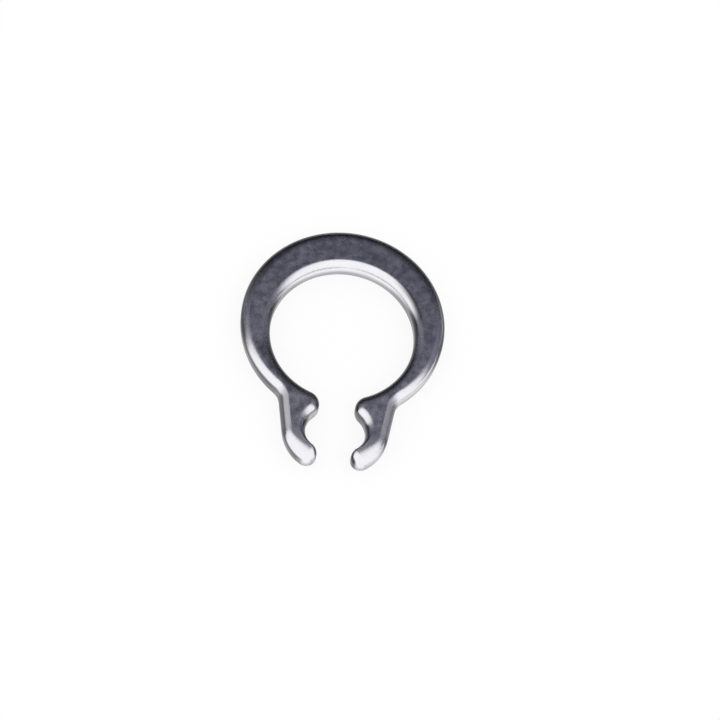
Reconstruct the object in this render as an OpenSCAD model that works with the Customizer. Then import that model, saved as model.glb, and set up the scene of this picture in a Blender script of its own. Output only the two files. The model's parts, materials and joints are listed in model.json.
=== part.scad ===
// Retaining ring for a shaft, stamped from spring steel sheet and tumbled until its edges are round.
// The ring is open: it is widest opposite its gap, tapers evenly towards the ends, and swells into a lug at
// each end. The lugs face each other across the gap, and each has a notch for the tip of a pair of pliers.
// The ring lies flat, with its bore on the Z axis and its gap towards -Y.

/* [Ring] */
// Diameter of the bore, with the ring unstretched
bore_d = 5.6; // [5:0.05:6.2]
// Diameter of the outer circle, which lies off the bore's centre
outer_d = 7.96; // [7.6:0.02:8.8]
// Radial width opposite the gap
back_w = 1.68; // [1.3:0.02:1.9]
// Thickness of the sheet
thickness = 0.88; // [0.7:0.01:1.4]

/* [Edges] */
// Rounding of the upper edges
top_round = 0.36; // [0.1:0.01:0.46]
// Rounding of the lower edges
bottom_round = 0.27; // [0.1:0.01:0.34]

/* [Lugs] */
// Gap between the two noses, where the bore opens
nose_gap = 1.36; // [0.9:0.02:1.7]
// Radius of each nose
nose_r = 0.53; // [0.38:0.01:0.6]
// Diameter of each plier notch
notch_d = 1.68; // [1.4:0.02:2]
// Distance of each notch's centre from the middle of the gap
notch_off = 0.3; // [0.1:0.01:0.5]
// Gap between the two toes
toe_gap = 1.28; // [0.9:0.02:1.6]
// Radius of each toe
toe_r = 0.38; // [0.35:0.01:0.45]
// Distance of each toe's highest point from the notch, from where its top falls away all round
toe_crest = 0.14; // [0.1:0.01:0.3]
// Outer radius of each foot, from the toe to the flank
foot_r = 1.72; // [1.4:0.02:2]
// Width of the metal behind each notch
limb_w = 0.89; // [0.8:0.01:1.2]
// Lean of each flank towards the gap, in degrees
flank_lean = 9.5; // [2:0.5:14]
// Radius of the hollow neck between each flank and the ring
neck_r = 0.68; // [0.3:0.02:0.9]

/* [Hidden] */
steel = [0.50, 0.50, 0.54];
// Facets along the outline and round each edge
ring_steps = 26;
nose_steps = 8;
notch_steps = 8;
toe_steps = 6;
flank_steps = 2;
edge_steps = 4;
// Metal left inside the bore's facets, for the round cutter to take off
bore_stock = 0.02;
// Flat left between two roundings where they come closest
rim_gap = 0.03;
cut_margin = 1;

bore_r = bore_d / 2;
outer_r = outer_d / 2;
notch_r = notch_d / 2;

// Height and width of the upper rounding, which leave a wall and the middle of each nose
round_drop = min(top_round, thickness - bottom_round - rim_gap);
round_w = min(top_round, nose_r - rim_gap);

function heading(v) = atan2(v[1], v[0]);
function leg(hypotenuse, side) = sqrt(pow(hypotenuse, 2) - pow(side, 2));

// Centres of the arcs on the +X half, each arc tangent to the next
nose_x = nose_gap / 2 + nose_r;
nose_c = [nose_x, -leg(bore_r + nose_r, nose_x)];
notch_c = [notch_off, nose_c[1] - leg(notch_r + nose_r, nose_x - notch_off)];
toe_x = toe_gap / 2 + toe_r;
toe_c = [toe_x, notch_c[1] - leg(notch_r + toe_r, toe_x - notch_off)];
foot_x = notch_off + notch_r + limb_w - foot_r;
foot_c = [foot_x, toe_c[1] + leg(foot_r - toe_r, toe_x - foot_x)];
outer_c = [0, bore_r + back_w - outer_r];
toe_in = (notch_c - toe_c) / norm(notch_c - toe_c);
toe_out = (toe_c - foot_c) / norm(toe_c - foot_c);
crest_c = toe_c + (toe_r - toe_crest) * toe_in;

// The flank is the straight that leaves the foot at the flank's lean. The neck's centre slides along a line
// beside it until the neck also touches the outer circle.
flank_out = [cos(flank_lean), -sin(flank_lean)];
flank_up = [sin(flank_lean), cos(flank_lean)];
flank_low = foot_c + foot_r * flank_out;
neck_line = flank_low + neck_r * flank_out;
from_outer = neck_line - outer_c;
neck_side = from_outer * flank_out;
neck_c = neck_line - (from_outer * flank_up + leg(outer_r + neck_r, neck_side)) * flank_up;
flank_high = neck_c - neck_r * flank_out;

// Reach of the upper rounding into the metal on a toe, where it ends in a small ring about the crest
function toe_reach(out) = toe_c - crest_c + (toe_r - rim_gap) * out;

// An arc as rows of a point, the direction out of the metal there and the reach of the upper rounding, which
// grows smoothly along the arc by the given vector
function arc(centre, radius, from, to, steps, hollow = false, growth = [0, 0]) =
    [for (i = [1 : steps])
        let (a = from + (to - from) * i / steps, ray = [cos(a), sin(a)], out = hollow ? -ray : ray)
        [centre + radius * ray, out, round_w * out + growth * (1 - cos(180 * i / steps)) / 2]];

// A straight and the arc of a toe, in the same rows
function straight(from, to, out, steps) =
    [for (i = [1 : steps]) [from + (to - from) * i / steps, out, round_w * out]];
function toe_arc(from, to, steps) =
    [for (i = [1 : steps])
        let (a = from + (to - from) * i / steps, out = [cos(a), sin(a)])
        [toe_c + toe_r * out, out, toe_reach(out)]];

// Gap side of the +X half, from the back of the bore to the middle of the toe
toe_from = heading(notch_c - toe_c);
toe_to = heading(toe_c - foot_c) + 360;
toe_tip = (toe_from + toe_to) / 2;
tip_flat = 4;
inner_half = concat(
    arc([0, 0], bore_r - bore_stock, 90, heading(nose_c), ring_steps, true),
    arc(nose_c, nose_r, heading(-nose_c), heading(notch_c - nose_c) + 360, nose_steps),
    arc(notch_c, notch_r, heading(nose_c - notch_c), heading(toe_c - notch_c), notch_steps, true,
        toe_reach(toe_in) - round_w * toe_in),
    toe_arc(toe_from, toe_tip - tip_flat, toe_steps)
);

// Outside of the +X half, from the back of the ring to the middle of the toe
outer_half = concat(
    arc(outer_c, outer_r, 90, heading(neck_c - outer_c), ring_steps),
    arc(neck_c, neck_r, heading(outer_c - neck_c), heading(-flank_out), nose_steps - flank_steps, true),
    straight(flank_high, flank_low, flank_out, flank_steps),
    arc(foot_c, foot_r, -flank_lean, toe_to - 360, notch_steps, false,
        toe_reach(toe_out) - round_w * toe_out),
    toe_arc(toe_to, toe_tip + tip_flat, toe_steps)
);

function back_row(y, out) = [[0, y], out, round_w * out];
back = [back_row(bore_r - bore_stock, [0, -1]), back_row(outer_c[1] + outer_r, [0, 1])];
half = [for (i = [0 : len(inner_half) - 1]) [inner_half[i], outer_half[i]]];
function mirrored(pair) = [for (side = pair) [for (v = side) [-v[0], v[1]]]];
stations = concat(
    [for (i = [len(half) - 1 : -1 : 0]) mirrored(half[i])],
    [back],
    half
);

// Share of the upper rounding's reach, inset of the lower rounding and height of each point up one side
edge_profile = concat(
    [for (i = [0 : edge_steps])
        let (a = 90 * i / edge_steps)
        [0, bottom_round * (1 - sin(a)), bottom_round * (1 - cos(a))]],
    [for (i = [0 : edge_steps])
        let (a = 90 * i / edge_steps)
        [1 - cos(a), 0, thickness - round_drop * (1 - sin(a))]]
);
levels = len(edge_profile);

function profile_point(side, level) =
    let (edge = edge_profile[level], p = side[0] - edge[0] * side[2] - edge[1] * side[1])
    [p[0], p[1], edge[2]];

// Closed section of the metal at one station: up the gap side and down the outside
function section(pair) = concat(
    [for (k = [0 : levels - 1]) profile_point(pair[0], k)],
    [for (k = [levels - 1 : -1 : 0]) profile_point(pair[1], k)]
);

// The stamped and tumbled blank: the section carried from one toe round to the other
module blank() {
    around = 2 * levels;
    last = (len(stations) - 1) * around;
    skin = [for (s = [0 : len(stations) - 2], k = [0 : around - 1])
        let (a = s * around + k, b = s * around + (k + 1) % around)
        [a, b, b + around, a + around]];
    first_tip = [for (k = [0 : levels - 2]) [k, around - 1 - k, around - 2 - k, k + 1]];
    last_tip = [for (face = first_tip) [for (i = [3 : -1 : 0]) face[i] + last]];
    polyhedron([for (pair = stations) each section(pair)], concat(skin, first_tip, last_tip));
}

module locking_ring() {
    color(steel)
    difference() {
        blank();
        translate([0, 0, -cut_margin])
            cylinder(d = bore_d, h = thickness + 2 * cut_margin, $fn = 180);
    }
}

locking_ring();
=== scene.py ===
"""Locking ring: an open retaining ring of tumbled spring steel, lying flat on a pale studio floor.

The ring is one surface. Its outline is a chain of tangent arcs, drawn once for the right half and mirrored,
and a section with rounded edges is carried along that outline from one toe round to the other.
"""

import json
from math import cos, radians, sin

import bpy
import numpy as np
from bpy.props import FloatProperty, FloatVectorProperty, PointerProperty
from mathutils import Matrix, Vector


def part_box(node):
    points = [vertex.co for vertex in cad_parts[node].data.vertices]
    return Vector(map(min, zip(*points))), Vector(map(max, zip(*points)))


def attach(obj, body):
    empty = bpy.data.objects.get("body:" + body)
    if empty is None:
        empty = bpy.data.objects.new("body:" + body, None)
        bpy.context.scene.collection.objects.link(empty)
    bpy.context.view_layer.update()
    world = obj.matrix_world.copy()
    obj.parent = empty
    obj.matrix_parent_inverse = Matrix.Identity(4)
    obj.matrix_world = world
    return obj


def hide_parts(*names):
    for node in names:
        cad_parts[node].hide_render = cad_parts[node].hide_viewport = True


bl_info = {
    "name": "Locking Ring",
    "version": (1, 0, 0),
    "blender": (4, 5, 0),
    "location": "3D View > Sidebar > Locking Ring",
    "description": "Builds a tumbled steel retaining ring and the studio around it",
    "category": "Object",
}

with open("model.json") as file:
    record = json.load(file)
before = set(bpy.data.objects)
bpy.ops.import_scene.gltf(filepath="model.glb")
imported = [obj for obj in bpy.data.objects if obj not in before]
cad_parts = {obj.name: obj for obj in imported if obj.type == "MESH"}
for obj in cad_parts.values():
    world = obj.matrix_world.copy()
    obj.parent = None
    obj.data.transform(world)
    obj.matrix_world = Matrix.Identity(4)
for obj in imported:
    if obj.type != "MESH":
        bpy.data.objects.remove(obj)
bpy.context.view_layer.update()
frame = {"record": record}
RING_LOW, RING_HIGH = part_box("locking_ring")
SEAT = next(m for m in frame["record"]["mounts"] if m["name"] == "shaft_seat")
MM = 0.001
TURN = 2 * np.pi

# Stations on each arc of the right half. The gap side and the outside have equally many, shared out so that
# the lines between the two sides never cross.
BORE_STATIONS, NOSE_STATIONS, NOTCH_STATIONS = 180, 56, 56
OUTER_STATIONS, NECK_STATIONS, FLANK_STATIONS, FOOT_STATIONS = 155, 48, 60, 29
TOE_STATIONS = 32
# Rows of points round each edge, on each wall and across each face
EDGE_ROWS, WALL_ROWS, FACE_ROWS = 16, 3, 14
# Points that fall on the same place of a grid this fine become one
MERGE_GRID = 1e-8

# Lean of the surface, in degrees, from which the painted shade lies on it, and how much further it is whole
PAINTED_SHADE_START, PAINTED_SHADE_FADE = 36.0, 12.0
# Strength of the thin painted shade at the back, of the painted shade on the bore's rim and on the left limb,
# and of the right flank's matt edge
THIN_PAINTED_SHADE = 0.6
RIGHT_RIM_PAINTED_SHADE, LEFT_RIM_PAINTED_SHADE, LIMB_PAINTED_SHADE = 0.68, 0.3, 0.4
RIGHT_MATT = 0.45
# Distances from the bore's centre towards the gap's end, over which each of these starts or ends
LIMB_START, LIMB_END = (0.3 * MM, 1.2 * MM), (2.6 * MM, 3.0 * MM)
FLANK_START, FLANK_END = (2.5 * MM, 2.9 * MM), (4.1 * MM, 4.5 * MM)
STAIN_END = (4.0 * MM, 4.6 * MM)
TOE_START = (4.4 * MM, 4.7 * MM)
# Distance from the middle of the gap over which a flank starts
FLANK_SIDE = (1.6 * MM, 1.8 * MM)
# Fineness of the hazy patches and of the mottled stain, the part of its noise that each uses, the strength of
# the stain's faintest and darkest spots, and how far the roughness swings between patches
PATCH_SCALE, MOTTLE_SCALE = 1300.0, 4200.0
PATCH_NOISE, MOTTLE_NOISE = (0.3, 0.7), (0.34, 0.66)
STAIN_STRENGTH = (0.15, 0.92)
ROUGHNESS_SWING = 0.04

# Stage, in metres: half the floor's side, the hood's radius, how far back it gets dark, the lamp's side and
# place, and the nearest and farthest that the camera sees
FLOOR_HALF = 1.5
HOOD_RADIUS = 0.3
HOOD_FADE = (0.14, 0.25)
LAMP_SIDE = 0.2
LAMP_PLACE = (0.15, -0.12, 0.25)
CLIP_NEAR, CLIP_FAR = 0.002, 10.0
# Angle from the middle of the hood's mouth to its far end, and points from mouth to end and round the mouth
HOOD_END = radians(170.0)
HOOD_ROWS, HOOD_COLUMNS = 40, 96
# Roughness of the floor's paint and of the hood's cloth
STAGE_ROUGHNESS = 0.9


def length(name, description, default_mm):
    """A size in metres whose default is written in millimetres."""
    return FloatProperty(
        name=name, description=description, default=default_mm * MM, min=0.0, precision=5, unit="LENGTH"
    )


def fraction(name, description, default):
    """A number from 0 to 1."""
    return FloatProperty(name=name, description=description, default=default, min=0.0, max=1.0)


def colour(name, description, default):
    """A colour without alpha."""
    return FloatVectorProperty(
        name=name, description=description, default=default, size=3, min=0.0, max=1.0, subtype="COLOR"
    )


def angle(name, description, degrees):
    """An angle whose default is written in degrees."""
    return FloatProperty(name=name, description=description, default=radians(degrees), subtype="ANGLE")


class RingSizes(bpy.types.PropertyGroup):
    """Sizes of the ring's outline and section."""

    bore_r: length("Bore radius", "Radius of the bore", SEAT["dims"]["r_mm"])
    outer_r: length("Outer radius", "Radius of the outer circle, off the bore's centre", RING_HIGH.x / MM)
    back_w: length("Back width", "Radial width opposite the gap", 1.68)
    thickness: length("Thickness", "Thickness of the sheet", (RING_HIGH.z - RING_LOW.z) / MM)
    top_round: length("Upper edges", "Rounding of the upper edges", 0.36)
    bottom_round: length("Lower edges", "Rounding of the lower edges", 0.27)
    nose_gap: length("Nose gap", "Gap between the two noses", 1.36)
    nose_r: length("Nose radius", "Radius of each nose", 0.53)
    notch_r: length("Notch radius", "Radius of each plier notch", 0.84)
    notch_off: length("Notch offset", "Distance of each notch's centre from the middle of the gap", 0.3)
    toe_gap: length("Toe gap", "Gap between the two toes", 1.28)
    toe_r: length("Toe radius", "Radius of each toe", 0.38)
    toe_crest: length("Toe crest", "Distance of each toe's highest point from the notch", 0.14)
    foot_r: length("Foot radius", "Outer radius of each foot", 1.72)
    limb_w: length("Limb width", "Width of the metal behind each notch", 0.89)
    neck_r: length("Neck radius", "Radius of the hollow neck between flank and ring", 0.68)
    rim_gap: length("Rim gap", "Flat left between two roundings where they come closest", 0.03)
    flank_lean: angle("Flank lean", "Lean of each flank towards the gap", 9.5)
    wave: length("Waviness", "Depth of the hollows that tumbling leaves in the surface", 0.003)


class SteelFinish(bpy.types.PropertyGroup):
    """Colours and polish of the steel."""

    bright: colour("Bright steel", "Colour of the cleanest metal", (0.96, 0.95, 0.98))
    dull: colour("Dull steel", "Colour of the patches with a haze on them", (0.86, 0.85, 0.91))
    stain: colour("Stain", "Colour of the mottled stain on the flat faces", (0.45, 0.44, 0.52))
    # Painted shade: the near-black colour laid on the sides and beside the bore in place of the dark
    # reflections they should show
    painted_shade: colour("Film", "Colour of the dark film left on the sides", (0.07, 0.069, 0.08))
    roughness: fraction("Roughness", "Roughness of the faces", 0.26)
    matt: fraction("Matt", "Roughness of the flanks' edges", 0.55)


class StudioSetup(bpy.types.PropertyGroup):
    """Camera, light and floor."""

    tilt: angle("Tilt", "Angle between the view and straight down", 27.06)
    turn: angle("Turn", "Angle of the view to the ring's left", 6.07)
    roll: angle("Roll", "Roll of the camera", 10.9)
    distance: length("Distance", "Distance from the camera to the upper face", 65.47)
    aim_right: length("Aim right", "How far right of the bore the camera aims", 0.652)
    aim_down: length("Aim down", "How far below the bore the camera aims", 1.147)
    lens: FloatProperty(name="Lens", description="Focal length in millimetres", default=85.0, min=1.0)
    floor: colour("Floor", "Colour of the floor", (0.96, 0.96, 0.965))
    floor_glow: fraction("Floor white", "Share of the floor's look that is plain white", 0.87)
    hood: colour("Hood", "Colour of the dark hood round the ring", (0.11, 0.11, 0.145))
    hood_back: colour("Hood back", "Colour of the hood behind the ring", (0.02, 0.02, 0.025))
    hood_lean: angle("Hood lean", "Angle from straight up to the middle of the hood's mouth", 69.0)
    hood_turn: angle("Hood turn", "Turn of the hood's mouth to the ring's left", 6.0)
    hood_mouth: angle("Hood mouth", "Half the angle that the hood's mouth takes up", 81.5)
    lamp_power: FloatProperty(
        name="Lamp", description="Power of the soft lamp", default=0.08, min=0.0, unit="POWER"
    )


def heading(v):
    """Direction of a plane vector, in radians."""
    return np.arctan2(v[1], v[0])


def leg(hypotenuse, side):
    """Other leg of a right triangle."""
    return np.sqrt(hypotenuse**2 - side**2)


def eased(share):
    """Shares from 0 to 1 that change slowly at both ends: (1 - cos pi t) / 2."""
    return (1 - np.cos(np.pi * share)) / 2


def smooth_step(low, high, value):
    """0 below low, 1 above high and t t (3 - 2 t) between them."""
    t = np.clip((value - low) / (high - low), 0.0, 1.0)
    return t * t * (3 - 2 * t)


def band(start, end, value):
    """1 between two ranges, 0 before the first and after the second, and a smooth change within each."""
    return smooth_step(*start, value) * (1 - smooth_step(*end, value))


def arc(centre, radius, start, end, steps, width, hollow=False, growth=(0.0, 0.0)):
    """Run of points centre + radius (cos a, sin a) after the start angle.

    Gives each point, the direction out of the metal there and the reach of the upper rounding, which is the
    width times that direction and grows smoothly along the run by a vector.
    """
    share = np.arange(1, steps + 1)[:, None] / steps
    a = start + (end - start) * share
    ray = np.concatenate((np.cos(a), np.sin(a)), 1)
    out = -ray if hollow else ray
    return np.asarray(centre) + radius * ray, out, width * out + eased(share) * growth


def straight(start, end, out, steps, width):
    """Run of points on a line after its start, with one direction out of the metal and one reach."""
    share = np.arange(1, steps + 1)[:, None] / steps
    outs = np.repeat(out[None], steps, 0)
    return start + share * (end - start), outs, width * outs


def ring_outline(size):
    """Gap side and outside of the ring, from left toe to right toe, as points, directions and reaches.

    The right half is a chain of arcs, each tangent to the next. The gap side runs along the bore, round the
    nose, through the notch and to the tip of the toe. The outside runs along the outer circle, through the
    neck, down the flank, round the foot and to the same tip. The left half is their mirror image.
    """
    nose_x = size.nose_gap / 2 + size.nose_r
    nose = np.array([nose_x, -leg(size.bore_r + size.nose_r, nose_x)])
    notch = np.array([size.notch_off, nose[1] - leg(size.notch_r + size.nose_r, nose_x - size.notch_off)])
    toe_x = size.toe_gap / 2 + size.toe_r
    toe = np.array([toe_x, notch[1] - leg(size.notch_r + size.toe_r, toe_x - size.notch_off)])
    foot_x = size.notch_off + size.notch_r + size.limb_w - size.foot_r
    foot = np.array([foot_x, toe[1] + leg(size.foot_r - size.toe_r, toe_x - foot_x)])
    outer = np.array([0.0, size.bore_r + size.back_w - size.outer_r])
    # The neck's centre slides along a line beside the flank until the neck touches the outer circle
    out = np.array([np.cos(size.flank_lean), -np.sin(size.flank_lean)])
    up = np.array([np.sin(size.flank_lean), np.cos(size.flank_lean)])
    low = foot + size.foot_r * out
    beside = low + size.neck_r * out
    reach = beside - outer
    neck = beside - (reach @ up + leg(size.outer_r + size.neck_r, reach @ out)) * up
    high = neck - size.neck_r * out
    # On a toe the rounding ends in a small ring about the crest, which lies off the toe's centre
    toe_start = heading(notch - toe)
    toe_end = heading(toe - foot) + TURN
    tip = (toe_start + toe_end) / 2
    inward = (notch - toe) / np.linalg.norm(notch - toe)
    onward = (toe - foot) / np.linalg.norm(toe - foot)
    width = min(size.top_round, size.nose_r - size.rim_gap)
    ring_r = size.toe_r - size.rim_gap
    crest = (size.toe_crest - size.toe_r) * inward
    thinner = crest + (ring_r - width) * inward
    wider = crest + (ring_r - width) * onward
    back = np.array([[0.0, 1.0]])
    nose_end = heading(notch - nose) + TURN
    notch_start, notch_end = heading(nose - notch), heading(toe - notch)
    gap_side = (
        (size.bore_r * back, -back, -width * back),
        arc((0.0, 0.0), size.bore_r, np.pi / 2, heading(nose), BORE_STATIONS, width, True),
        arc(nose, size.nose_r, heading(-nose), nose_end, NOSE_STATIONS, width),
        arc(notch, size.notch_r, notch_start, notch_end, NOTCH_STATIONS, width, True, thinner),
        arc(toe, size.toe_r, toe_start, tip, TOE_STATIONS, ring_r),
    )
    outside = (
        (outer + size.outer_r * back, back, width * back),
        arc(outer, size.outer_r, np.pi / 2, heading(neck - outer), OUTER_STATIONS, width),
        arc(neck, size.neck_r, heading(outer - neck), heading(-out), NECK_STATIONS, width, True),
        straight(high, low, out, FLANK_STATIONS, width),
        arc(foot, size.foot_r, -size.flank_lean, toe_end - TURN, FOOT_STATIONS, width, False, wider),
        arc(toe, size.toe_r, toe_end, tip, TOE_STATIONS, ring_r),
    )
    for chain in (gap_side, outside):
        chain[-1][2][:] += crest
    mirror = np.array([-1.0, 1.0])
    halves = [[np.concatenate(part) for part in zip(*chain)] for chain in (gap_side, outside)]
    return [[np.concatenate(((part * mirror)[:0:-1], part)) for part in half] for half in halves]


def edge_side(points, out, reach, size):
    """One side of the metal, from lower to upper face, as points, normals and directions (level, station).

    A quarter circle of the lower radius, a straight wall and a quarter ellipse as wide as the station's
    reach. Each point is the outline's point moved into the metal by the profile's inset and raised to its
    height, each normal is the profile's own, turned to the station's direction, and each direction is the
    station's own.
    """
    a = np.linspace(0.0, np.pi / 2, EDGE_ROWS + 1)[:, None, None]
    wall = np.linspace(0.0, 1.0, WALL_ROWS + 2)[1:-1, None, None]
    drop = min(size.top_round, size.thickness - size.bottom_round - size.rim_gap)
    low, high = size.bottom_round, size.thickness - drop
    width = np.linalg.norm(reach, axis=1)[None, :, None]
    inset = np.concatenate((low * (1 - np.sin(a)) * out, 0 * wall * out, (1 - np.cos(a)) * reach))
    height = np.concatenate((low * (1 - np.cos(a)), low + wall * (high - low), high + drop * np.sin(a)))
    slope = np.cos(a) * drop / width * reach / width
    aside = np.concatenate((np.sin(a) * out, (1 + 0 * wall) * out, slope))
    upward = np.concatenate((-np.cos(a) * (1 + 0 * width), 0 * wall * width, np.sin(a) * (1 + 0 * width)))
    place = np.concatenate((points - inset, np.broadcast_to(height, inset.shape[:2] + (1,))), 2)
    normal = np.concatenate((aside, upward), 2)
    normal = normal / np.linalg.norm(normal, axis=2, keepdims=True)
    return place, normal, np.broadcast_to(out, inset.shape)


def ring_surface(size):
    """The ring's skin as points, normals, side directions and insets (round the section, along the ring).

    Round the section it goes up the gap side, over the upper face, down the outside and back under the
    lower face. Each face is the straight blend between its two rims. It belongs to the outside, and the
    insets of its points are their distances from the outer rim.
    """
    gap_side, outside = (edge_side(*side, size) for side in ring_outline(size))
    share = eased(np.arange(1, FACE_ROWS + 1) / (FACE_ROWS + 1))[:, None, None]
    top = gap_side[0][-1] + share * (outside[0][-1] - gap_side[0][-1])
    bottom = outside[0][0] + share * (gap_side[0][0] - outside[0][0])
    up = np.broadcast_to(np.array([0.0, 0.0, 1.0]), top.shape)
    places = np.concatenate((gap_side[0], top, outside[0][::-1], bottom))
    normals = np.concatenate((gap_side[1], up, outside[1][::-1], -up))
    face = np.broadcast_to(outside[2][0], top.shape[:2] + (2,))
    sides = np.concatenate((gap_side[2], face, outside[2], face))
    edge = np.zeros(gap_side[0].shape[:2])
    top_inset = np.linalg.norm(top - outside[0][-1], axis=2)
    bottom_inset = np.linalg.norm(bottom - outside[0][0], axis=2)
    insets = np.concatenate((edge, top_inset, edge, bottom_inset))
    return places, normals, sides, insets


def hollows(points, depth):
    """Depth of the shallow hollows at each point, from 0 to depth: a sum of plane waves about 1 mm long.

    Each row has a wave's three numbers in radians per millimetre and its phase.
    """
    waves = np.array(
        [
            (2.1, 3.4, 1.5, 0.3),
            (-3.7, 1.9, 2.2, 1.7),
            (4.6, -2.8, 0.9, 4.1),
            (1.2, 5.3, -2.4, 2.6),
            (-5.8, -4.1, 1.1, 5.2),
            (6.9, 2.2, 2.9, 0.9),
        ]
    )
    phase = points @ (waves[:, :3].T / MM) + waves[:, 3]
    return depth * (0.5 + np.sin(phase).mean(-1) / 2)


def edge_lean(normals, insets, size):
    """Angle of each point's normal from upright, in degrees.

    On a face it goes on below zero, as if the outer edge's rounding did.
    """
    return np.degrees(np.arccos(np.clip(np.abs(normals[..., 2]), 0.0, 1.0)) - insets / size.top_round)


def bore_share(places, size):
    """1 in the bore, 0 from a fifth of its radius further out and a smooth change between."""
    return 1 - smooth_step(size.bore_r, 1.2 * size.bore_r, np.hypot(places[..., 0], places[..., 1]))


def flank_share(places):
    """1 on the outside of necks and flanks, 0 elsewhere and a smooth change between."""
    x, y = places[..., 0], places[..., 1]
    return band(FLANK_START, FLANK_END, -y) * smooth_step(*FLANK_SIDE, np.abs(x))


def side_painted_shade(places, sides, lean):
    """Painted shade on the sides before any is taken off, from 0 to 1: a dark film in place of dark
    reflections.

    It starts where the surface leans past a limit angle. The limit is lower on the flanks and on sides that
    face the back, where a thin painted shade also reaches the face. It is higher on sides that face the gap's
    end, apart from the inner side of the right toe. The painted shade is weaker on those sides and on the
    flanks.
    """
    x, y = places[..., 0], places[..., 1]
    right, front = sides[..., 0], -sides[..., 1]
    behind = smooth_step(0.0, 0.6, -front)
    right_toe = (x > 0) * smooth_step(*TOE_START, -y)
    ahead = smooth_step(0.2, 0.5, front) * (1 - right_toe * smooth_step(0.3, 0.7, -right))
    flank = flank_share(places)
    limit = PAINTED_SHADE_START - 14.0 * behind + 16.0 * ahead - 3.0 * flank
    whole = smooth_step(0.0, PAINTED_SHADE_FADE, lean - limit) * (1 - 0.12 * ahead - 0.2 * flank)
    thin_start = np.where(y > 0, -30.0, 0.0)
    thin = THIN_PAINTED_SHADE * behind * smooth_step(0.0, 40.0, lean - thin_start)
    return np.maximum(thin, whole)


def painted_shade_lift(places, sides, lean, inside):
    """How much of the painted shade on the sides is taken off again, from 0 to 1, where they should look
    bright.

    It comes off sides that face the gap's end, or that way and to the right, off the bore where it faces the
    gap's end and partly where it stands upright, and off the upright wall of sides that face the back.
    """
    right, front = sides[..., 0], -sides[..., 1]
    end = smooth_step(0.75, 1.0, front)
    turned = smooth_step(0.2, 0.6, right) * smooth_step(0.35, 0.65, front)
    turned = turned * np.where(places[..., 0] > 0, 0.7, 0.5)
    shaft = inside * np.maximum(smooth_step(0.35, 0.65, front), 0.6 * smooth_step(78.0, 90.0, lean))
    wall = 0.7 * smooth_step(65.0, 85.0, lean) * smooth_step(0.2, 0.6, -front)
    return np.maximum.reduce((end, turned, shaft, wall))


def bore_painted_shade(places, sides, lean):
    """Painted shade beside the bore, from 0 to 1: on its rim beside the back, and on the left limb's inner
    half.
    """
    x, y, front = places[..., 0], places[..., 1], -sides[..., 1]
    toward = -(sides * places[..., :2]).sum(-1) / np.hypot(x, y)
    beside = band((0.1, 0.3), (0.55, 0.85), front)
    rim = smooth_step(0.5, 0.9, toward) * beside * (1 - smooth_step(15.0, 42.0, lean))
    inner = np.where(toward > 0, 1.0, smooth_step(8.0, 25.0, -lean))
    limb = band(LIMB_START, LIMB_END, -y) * inner
    return np.where(x > 0, RIGHT_RIM_PAINTED_SHADE * rim, np.maximum(LEFT_RIM_PAINTED_SHADE * rim, LIMB_PAINTED_SHADE * limb))


def painted_shade_share(places, sides, lean, size):
    """How much painted shade there is at each point, from 0 to 1: what is left on the sides, or that beside
    the bore.

    Low down only half of it can be taken off. In the bore more of it stays, and most of all away from the
    bore's back, where it also reaches higher.
    """
    inside = bore_share(places, size)
    beside = inside * (1 - smooth_step(0.55, 0.95, -sides[..., 1]))
    low = 1 - smooth_step(0.4, 0.7, places[..., 2] / size.thickness - 0.15 * beside)
    kept = (0.5 + 0.15 * inside + 0.2 * beside) * low
    painted_shade = side_painted_shade(places, sides, lean) * (1 - painted_shade_lift(places, sides, lean, inside) * (1 - kept))
    return np.maximum(bore_painted_shade(places, sides, lean), painted_shade)


def stain_share(places, lean):
    """How strong the stain is at each point, from 0 to 1: whole on the faces, none on edges and toes."""
    faces = 1 - smooth_step(1.0, 12.0, lean + 4.0 * flank_share(places))
    return faces * (1 - smooth_step(*STAIN_END, -places[..., 1]))


def matt_share(places, lean):
    """How matt the surface is at each point, from 0 to 1.

    Whole on the outer edges of the left neck and flank, and less than half as much on the right ones.
    """
    strength = np.where(places[..., 0] > 0, RIGHT_MATT, 1.0)
    return flank_share(places) * smooth_step(0.0, 8.0, lean) * strength


def skin_mesh(name, places, shares):
    """Mesh of a skin that is closed round its section and drawn together at both ends.

    Each share goes onto the mesh's points as an attribute of its own name.
    """
    around, along = places.shape[:2]
    index = np.arange(around * along).reshape(around, along)
    after = np.roll(index, -1, 0)
    quads = np.stack((index[:, :-1], index[:, 1:], after[:, 1:], after[:, :-1]), 2).reshape(-1, 4)
    keys = np.round(places.reshape(-1, 3) / MERGE_GRID).astype(np.int64)
    _, first, inverse = np.unique(keys, axis=0, return_index=True, return_inverse=True)
    faces = inverse.reshape(-1)[quads]
    repeats = (np.diff(np.sort(faces, 1), axis=1) == 0).sum(1)
    triangles = [list(dict.fromkeys(face)) for face in faces[repeats == 1].tolist()]
    mesh = bpy.data.meshes.new(name)
    mesh.from_pydata(places.reshape(-1, 3)[first], [], faces[repeats == 0].tolist() + triangles)
    mesh.polygons.foreach_set("use_smooth", np.ones(len(mesh.polygons), bool))
    for share, values in shares.items():
        mesh.attributes.new(share, "FLOAT", "POINT").data.foreach_set("value", values.reshape(-1)[first])
    mesh.update()
    return mesh


def add_node(tree, kind, x, y, **values):
    """New shader node at a place, with the given input values."""
    node = tree.nodes.new(kind)
    node.location = (x, y)
    for socket, value in values.items():
        node.inputs[socket].default_value = value
    return node


def add_math(tree, x, y, operation):
    """New node that works out one number from others."""
    node = add_node(tree, "ShaderNodeMath", x, y)
    node.operation = operation
    return node


def add_mix(tree, x, y):
    """New node that mixes two colours, A and B."""
    node = add_node(tree, "ShaderNodeMix", x, y)
    node.data_type = "RGBA"
    return node


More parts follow.
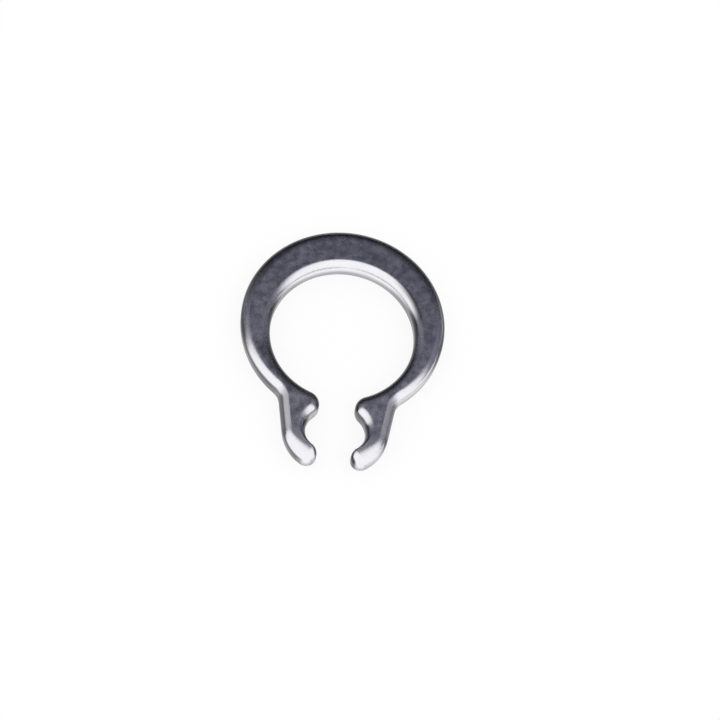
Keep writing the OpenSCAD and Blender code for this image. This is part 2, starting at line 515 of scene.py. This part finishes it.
def add_attribute(tree, x, y, name):
    """New node that reads one of the mesh's attributes."""
    node = add_node(tree, "ShaderNodeAttribute", x, y)
    node.attribute_name = name
    return node


def add_ramp(tree, x, y, source, target):
    """New node that maps the source range evenly onto the target range and stops at its ends."""
    node = add_node(tree, "ShaderNodeMapRange", x, y)
    node.inputs["From Min"].default_value, node.inputs["From Max"].default_value = source
    node.inputs["To Min"].default_value, node.inputs["To Max"].default_value = target
    return node


def steel_material(finish):
    """Tumbled bright steel with faint hazy patches.

    The flat faces have a mottled stain, the sides painted shade, and the edges of necks and flanks are matt.
    """
    material = bpy.data.materials.new("tumbled_steel")
    material.use_nodes = True
    tree = material.node_tree
    link = tree.links.new
    shader = tree.nodes["Principled BSDF"]
    shader.inputs["Metallic"].default_value = 1.0
    where = add_node(tree, "ShaderNodeTexCoord", -1400, 0)
    patches = add_node(tree, "ShaderNodeTexNoise", -1150, 300, Scale=PATCH_SCALE, Detail=4.0, Roughness=0.6)
    mottle = add_node(tree, "ShaderNodeTexNoise", -1150, -50, Scale=MOTTLE_SCALE, Detail=2.0, Roughness=0.5)
    for texture in (patches, mottle):
        link(where.outputs["Object"], texture.inputs["Vector"])
    tone = add_mix(tree, -600, 400)
    tone.inputs["A"].default_value = (*finish.dull, 1.0)
    tone.inputs["B"].default_value = (*finish.bright, 1.0)
    link(patches.outputs["Fac"], tone.inputs["Factor"])
    faces = add_attribute(tree, -900, -350, "stain")
    spots = add_ramp(tree, -900, -50, MOTTLE_NOISE, STAIN_STRENGTH)
    link(mottle.outputs["Fac"], spots.inputs["Value"])
    amount = add_math(tree, -700, -150, "MULTIPLY")
    link(faces.outputs["Fac"], amount.inputs[0])
    link(spots.outputs["Result"], amount.inputs[1])
    stained = add_mix(tree, -400, 300)
    stained.inputs["B"].default_value = (*finish.stain, 1.0)
    link(amount.outputs["Value"], stained.inputs["Factor"])
    link(tone.outputs["Result"], stained.inputs["A"])
    # Painted shade, read from the mesh, pulls the colour towards near black in place of dark reflections
    painted_shade = add_attribute(tree, -400, 550, "painted_shade")
    with_painted_shade = add_mix(tree, -200, 350)
    with_painted_shade.inputs["B"].default_value = (*finish.painted_shade, 1.0)
    link(painted_shade.outputs["Fac"], with_painted_shade.inputs["Factor"])
    link(stained.outputs["Result"], with_painted_shade.inputs["A"])
    link(with_painted_shade.outputs["Result"], shader.inputs["Base Color"])
    roughest, smoothest = finish.roughness + ROUGHNESS_SWING, finish.roughness - ROUGHNESS_SWING
    polish = add_ramp(tree, -600, 100, PATCH_NOISE, (roughest, smoothest))
    link(patches.outputs["Fac"], polish.inputs["Value"])
    edges = add_attribute(tree, -600, -350, "matt")
    rough = add_math(tree, -200, 0, "MULTIPLY_ADD")
    rough.inputs[1].default_value = finish.matt - finish.roughness
    link(edges.outputs["Fac"], rough.inputs[0])
    link(polish.outputs["Result"], rough.inputs[2])
    link(rough.outputs["Value"], shader.inputs["Roughness"])
    return material


def plain_material(name, tint):
    """Matt cloth or paint."""
    material = bpy.data.materials.new(name)
    material.use_nodes = True
    shader = material.node_tree.nodes["Principled BSDF"]
    shader.inputs["Base Color"].default_value = (*tint, 1.0)
    shader.inputs["Roughness"].default_value = STAGE_ROUGHNESS
    shader.inputs["Specular IOR Level"].default_value = 0.0
    return material


def hood_material(studio):
    """Dark matt cloth that gets darker towards the back."""
    material = plain_material("hood_cloth", studio.hood)
    tree = material.node_tree
    link = tree.links.new
    where = add_node(tree, "ShaderNodeTexCoord", -800, 0)
    depth = add_node(tree, "ShaderNodeSeparateXYZ", -600, 0)
    link(where.outputs["Object"], depth.inputs["Vector"])
    fade = add_ramp(tree, -400, 0, HOOD_FADE, (0.0, 1.0))
    link(depth.outputs["Y"], fade.inputs["Value"])
    cloth = add_mix(tree, -200, 0)
    cloth.inputs["A"].default_value = (*studio.hood, 1.0)
    cloth.inputs["B"].default_value = (*studio.hood_back, 1.0)
    link(fade.outputs["Result"], cloth.inputs["Factor"])
    link(cloth.outputs["Result"], tree.nodes["Principled BSDF"].inputs["Base Color"])
    return material


def floor_material(studio):
    """White floor that looks plain white to the camera and in the metal, and keeps part of each shadow."""
    material = plain_material("floor_paint", studio.floor)
    tree = material.node_tree
    link = tree.links.new
    path = add_node(tree, "ShaderNodeLightPath", -700, 300)
    seen = add_math(tree, -450, 300, "MAXIMUM")
    link(path.outputs["Is Camera Ray"], seen.inputs[0])
    link(path.outputs["Is Glossy Ray"], seen.inputs[1])
    clear = add_math(tree, -250, 300, "MAXIMUM")
    link(seen.outputs["Value"], clear.inputs[0])
    link(path.outputs["Is Transmission Ray"], clear.inputs[1])
    share = add_math(tree, -50, 300, "MULTIPLY")
    share.inputs[1].default_value = studio.floor_glow
    link(clear.outputs["Value"], share.inputs[0])
    glow = add_node(tree, "ShaderNodeEmission", 50, 100, Strength=1.0)
    mixed = add_node(tree, "ShaderNodeMixShader", 300, 200)
    link(share.outputs["Value"], mixed.inputs["Fac"])
    link(tree.nodes["Principled BSDF"].outputs["BSDF"], mixed.inputs[1])
    link(glow.outputs["Emission"], mixed.inputs[2])
    link(mixed.outputs["Shader"], tree.nodes["Material Output"].inputs["Surface"])
    return material


def floor_object(studio):
    """Flat square floor at the height that the ring lies on."""
    corners = np.array([(-1, -1, 0), (1, -1, 0), (1, 1, 0), (-1, 1, 0)]) * FLOOR_HALF
    mesh = bpy.data.meshes.new("studio_floor")
    mesh.from_pydata(corners, [], [(0, 1, 2, 3)])
    mesh.materials.append(floor_material(studio))
    sheet = bpy.data.objects.new("studio_floor", mesh)
    bpy.context.collection.objects.link(sheet)


def hood_object(studio):
    """Dark hood round the ring, open towards the camera and seen only in the metal.

    A ball about the mouth's axis, from the mouth's edge to its far end under the floor: each point is
    radius (cos a axis + sin a (cos b side + sin b over)).
    """
    lean, turn = studio.hood_lean, studio.hood_turn
    axis = np.array([-sin(lean) * sin(turn), -sin(lean) * cos(turn), cos(lean)])
    side = np.array([cos(turn), -sin(turn), 0.0])
    over = np.cross(axis, side)
    a = np.linspace(studio.hood_mouth, HOOD_END, HOOD_ROWS)[:, None, None]
    b = np.linspace(0.0, TURN, HOOD_COLUMNS, endpoint=False)[None, :, None]
    points = HOOD_RADIUS * (np.cos(a) * axis + np.sin(a) * (np.cos(b) * side + np.sin(b) * over))
    index = np.arange(points.shape[0] * points.shape[1]).reshape(points.shape[:2])
    after = np.roll(index, -1, 1)
    quads = np.stack((index[:-1], index[1:], after[1:], after[:-1]), 2).reshape(-1, 4)
    mesh = bpy.data.meshes.new("studio_hood")
    mesh.from_pydata(points.reshape(-1, 3), [], quads)
    mesh.materials.append(hood_material(studio))
    hood = bpy.data.objects.new("studio_hood", mesh)
    bpy.context.collection.objects.link(hood)
    hood.visible_camera = False
    hood.visible_diffuse = False
    hood.visible_shadow = False


def studio_world():
    """Even white all round."""
    world = bpy.data.worlds.new("studio_world")
    world.use_nodes = True
    sky = world.node_tree.nodes["Background"]
    sky.inputs["Color"].default_value = (1.0, 1.0, 1.0, 1.0)
    sky.inputs["Strength"].default_value = 1.0
    return world


def soft_lamp(studio):
    """Square lamp to the right of the camera, turned towards the ring and not seen in the metal."""
    lamp = bpy.data.lights.new("soft_box", "AREA")
    lamp.shape = "SQUARE"
    lamp.size = LAMP_SIDE
    lamp.energy = studio.lamp_power
    box = bpy.data.objects.new("soft_box", lamp)
    box.location = LAMP_PLACE
    box.rotation_euler = Vector(LAMP_PLACE).to_track_quat("Z", "Y").to_euler()
    box.visible_glossy = False
    bpy.context.collection.objects.link(box)


def view_matrix(studio, centre):
    """Camera placed from tilt, turn and roll about the bore's centre, then aimed beside it."""
    tilt, turn, roll = studio.tilt, studio.turn, studio.roll
    level = Vector((cos(turn), -sin(turn), 0.0))
    rise = Vector((sin(turn) * cos(tilt), cos(turn) * cos(tilt), sin(tilt)))
    back = Vector((-sin(turn) * sin(tilt), -cos(turn) * sin(tilt), cos(tilt)))
    right = cos(roll) * level + sin(roll) * rise
    up = cos(roll) * rise - sin(roll) * level
    eye = centre + studio.distance * back
    aim = centre + studio.aim_right * right - studio.aim_down * up
    back = (eye - aim).normalized()
    right = up.cross(back).normalized()
    up = back.cross(right)
    turned = Matrix((right, up, back)).transposed().to_4x4()
    return Matrix.Translation(eye) @ turned


def studio_camera(studio):
    """Camera at the photograph's angle."""
    camera = bpy.data.cameras.new("studio_camera")
    camera.lens = studio.lens
    camera.clip_start = CLIP_NEAR
    camera.clip_end = CLIP_FAR
    holder = bpy.data.objects.new("studio_camera", camera)
    holder.matrix_world = view_matrix(studio, Vector((0.0, 0.0, RING_HIGH.z)))
    bpy.context.collection.objects.link(holder)
    return holder


class RING_OT_make_ring(bpy.types.Operator):
    """Build the steel ring"""

    bl_idname = "locking_ring.make_ring"
    bl_label = "Make Ring"

    def execute(self, context):
        settings = context.scene.locking_ring
        sizes = settings.sizes
        places, normals, sides, insets = ring_surface(sizes)
        places = places - hollows(places, sizes.wave)[..., None] * normals
        lean = edge_lean(normals, insets, sizes)
        shares = {
            # Painted shade: darkens the sides and the bore's rim where they should mirror dark surroundings
            "painted_shade": painted_shade_share(places, sides, lean, sizes),
            "stain": stain_share(places, lean),
            "matt": matt_share(places, lean),
        }
        mesh = skin_mesh("ring_skin", places, shares)
        mesh.materials.append(steel_material(settings.finish))
        ring = bpy.data.objects.new("ring_skin", mesh)
        context.collection.objects.link(ring)
        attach(ring, "root")
        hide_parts("locking_ring")
        return {"FINISHED"}


class RING_OT_set_stage(bpy.types.Operator):
    """Set the floor, the light and the camera"""

    bl_idname = "locking_ring.set_stage"
    bl_label = "Set Stage"

    def execute(self, context):
        scene = context.scene
        studio = scene.locking_ring.studio
        scene.view_settings.view_transform = "Standard"
        floor_object(studio)
        hood_object(studio)
        scene.world = studio_world()
        soft_lamp(studio)
        scene.camera = studio_camera(studio)
        return {"FINISHED"}


class RingSettings(bpy.types.PropertyGroup):
    """Everything that the operators read."""

    sizes: PointerProperty(type=RingSizes)
    finish: PointerProperty(type=SteelFinish)
    studio: PointerProperty(type=StudioSetup)


class RING_PT_sidebar(bpy.types.Panel):
    """Sizes, finish and studio of the ring"""

    bl_label = "Locking Ring"
    bl_idname = "RING_PT_sidebar"
    bl_space_type = "VIEW_3D"
    bl_region_type = "UI"
    bl_category = "Locking Ring"

    def draw(self, context):
        settings = context.scene.locking_ring
        groups = {"Sizes": settings.sizes, "Finish": settings.finish, "Studio": settings.studio}
        for title, group in groups.items():
            column = self.layout.column(heading=title)
            for name in group.__annotations__:
                column.prop(group, name)
        self.layout.operator(RING_OT_make_ring.bl_idname)
        self.layout.operator(RING_OT_set_stage.bl_idname)


CLASSES = (
    RingSizes,
    SteelFinish,
    StudioSetup,
    RingSettings,
    RING_OT_make_ring,
    RING_OT_set_stage,
    RING_PT_sidebar,
)


def register():
    """Register the classes and put the settings on the scene."""
    for cls in CLASSES:
        bpy.utils.register_class(cls)
    bpy.types.Scene.locking_ring = PointerProperty(type=RingSettings)


def unregister():
    """Take the settings off the scene and unregister the classes."""
    del bpy.types.Scene.locking_ring
    for cls in reversed(CLASSES):
        bpy.utils.unregister_class(cls)


def main():
    """Build the ring and its stage."""
    register()
    bpy.ops.locking_ring.make_ring()
    bpy.ops.locking_ring.set_stage()


if __name__ == "__main__":
    main()
